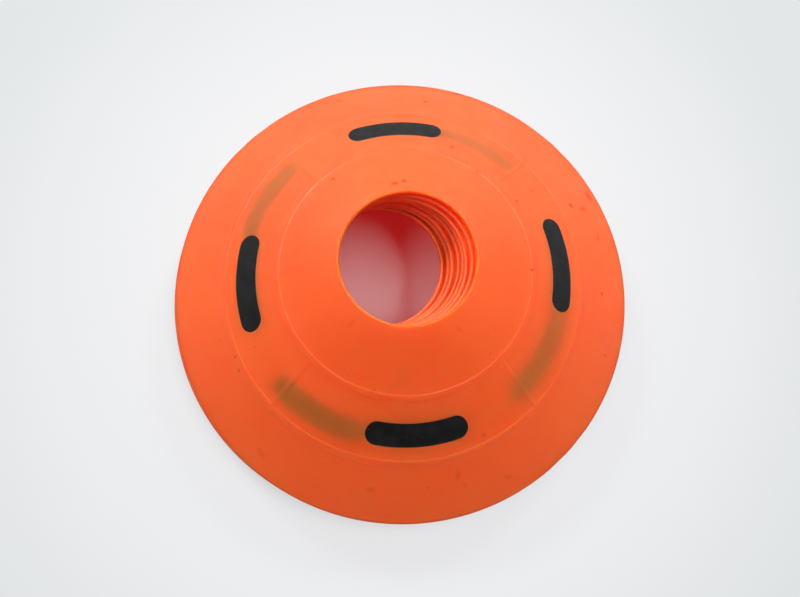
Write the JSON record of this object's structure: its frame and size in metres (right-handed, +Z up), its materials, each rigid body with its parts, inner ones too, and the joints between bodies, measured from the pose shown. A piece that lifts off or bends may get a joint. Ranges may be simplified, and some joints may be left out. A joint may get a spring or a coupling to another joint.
{
  "type": "sports marker cone stack",
  "caption": "Leaning nested stack of soft orange disc marker cones, each a shallow skirt with a round top hole and a raised ring frame, that lift off the pile singly.",
  "frame": {"origin": "on the ground, in the middle of the stack's footprint box", "axes": "+Z up through the holes, +X towards the side that the stack leans to, -Y towards the viewer of the picture"},
  "size_m": [0.2104, 0.204, 0.0771],
  "materials": {
    "orange_plastic": "satin, slightly translucent soft polyethylene"
  },
  "bodies": {
    "cone_1": {"marker_cone_1": "orange_plastic"},
    "cone_2": {"marker_cone_2": "orange_plastic"},
    "cone_3": {"marker_cone_3": "orange_plastic"},
    "cone_4": {"marker_cone_4": "orange_plastic"},
    "cone_5": {"marker_cone_5": "orange_plastic"},
    "cone_6": {"marker_cone_6": "orange_plastic"},
    "cone_7": {"marker_cone_7": "orange_plastic"},
    "cone_8": {"marker_cone_8": "orange_plastic"}
  },
  "joints": [
    {"name": "cone_2_lift", "type": "slide", "parent": "cone_1", "child": "cone_2", "axis": [0, 0, 1], "range_m": [0, 0.05]},
    {"name": "cone_3_lift", "type": "slide", "parent": "cone_2", "child": "cone_3", "axis": [0, 0, 1], "range_m": [0, 0.05]},
    {"name": "cone_4_lift", "type": "slide", "parent": "cone_3", "child": "cone_4", "axis": [0, 0, 1], "range_m": [0, 0.05]},
    {"name": "cone_5_lift", "type": "slide", "parent": "cone_4", "child": "cone_5", "axis": [0, 0, 1], "range_m": [0, 0.05]},
    {"name": "cone_6_lift", "type": "slide", "parent": "cone_5", "child": "cone_6", "axis": [0, 0, 1], "range_m": [0, 0.05]},
    {"name": "cone_7_lift", "type": "slide", "parent": "cone_6", "child": "cone_7", "axis": [0, 0, 1], "range_m": [0, 0.05]},
    {"name": "cone_8_lift", "type": "slide", "parent": "cone_7", "child": "cone_8", "axis": [0, 0, 1], "range_m": [0, 0.05]}
  ]
}
